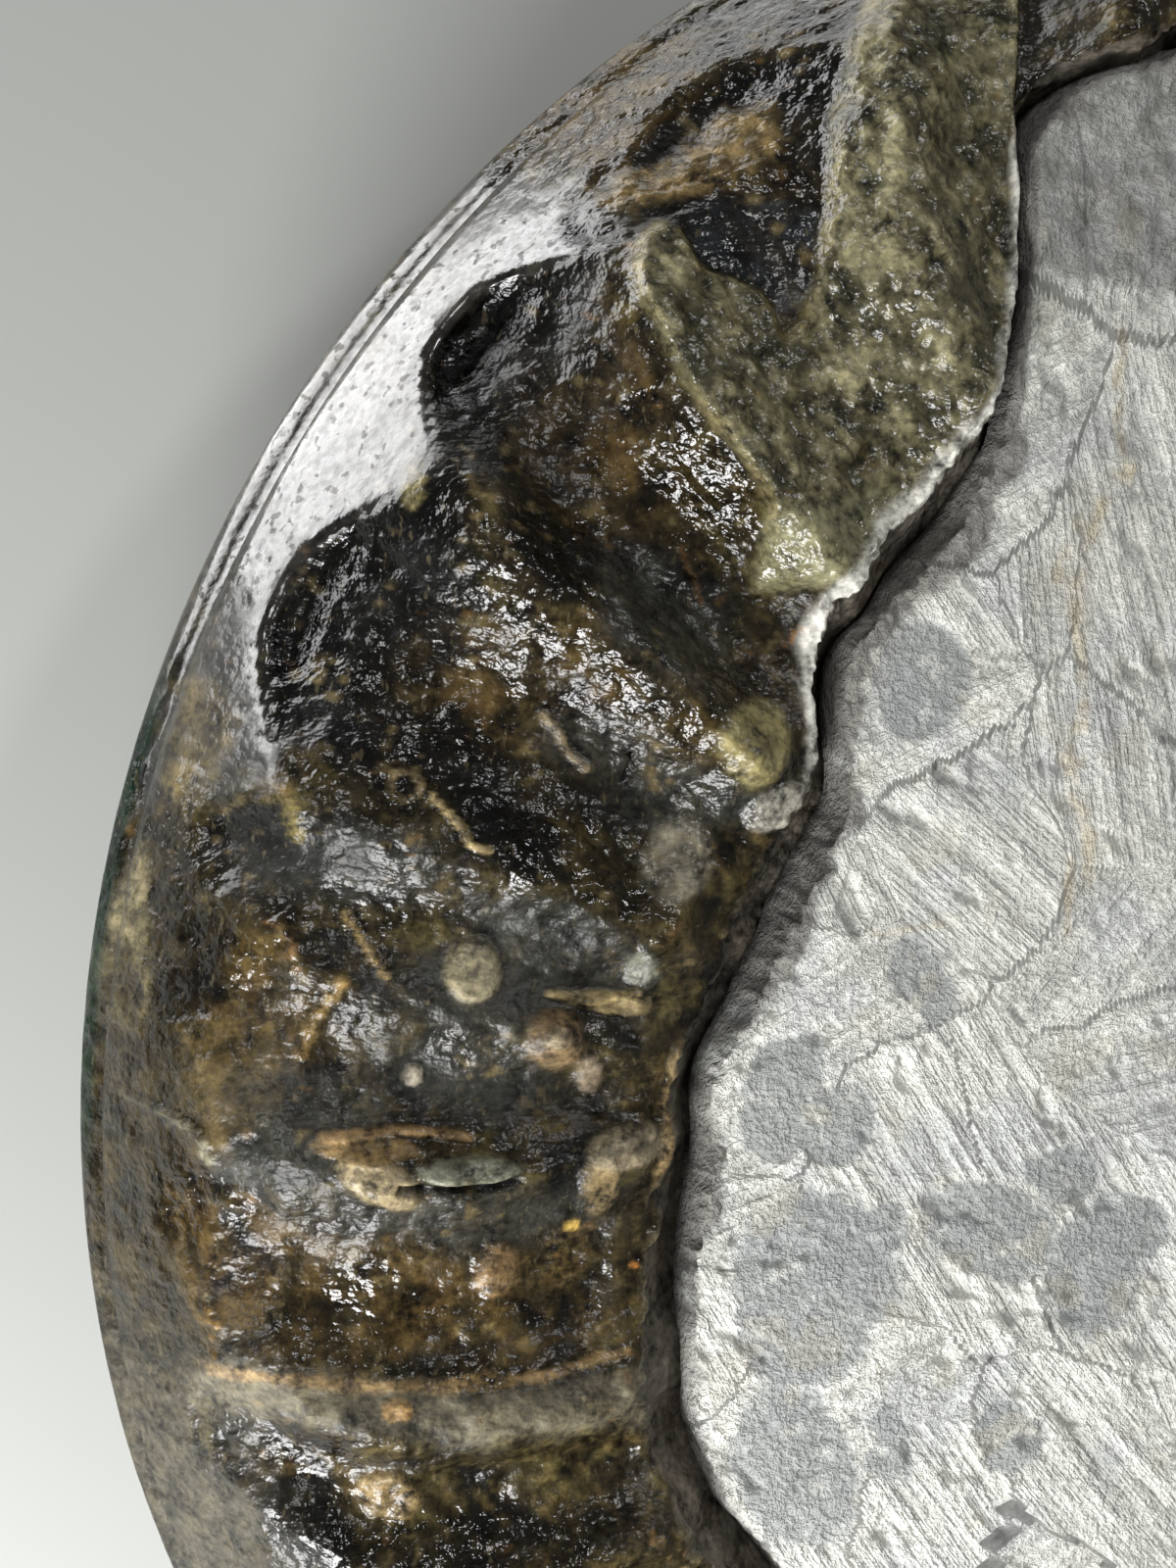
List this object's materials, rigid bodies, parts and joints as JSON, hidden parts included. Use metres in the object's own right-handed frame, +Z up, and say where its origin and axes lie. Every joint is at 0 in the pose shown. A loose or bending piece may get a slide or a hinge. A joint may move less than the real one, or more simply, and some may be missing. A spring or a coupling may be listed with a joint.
{
  "type": "arietites bucklandi ammonite",
  "caption": "Large evolute ribbed ammonite with a keel between two grooves; pale tool-marked limestone fills the hub of its upper side.",
  "frame": {"origin": "under the middle of the bounding box, on the surface that the fossil lies on", "axes": "+Z up through the coil and towards the side with the stone; +X along the longest side, with the mouth of the coil at +X; +Y across"},
  "size_m": [0.2704, 0.2442, 0.0691],
  "materials": {
    "shell": "dark brown-black mineral, varnished to a high gloss, with olive, tan and grey patches",
    "stone": "matt pale grey limestone with chisel marks"
  },
  "bodies": {
    "root": {"ammonite": "shell", "matrix": "stone"}
  },
  "joints": []
}
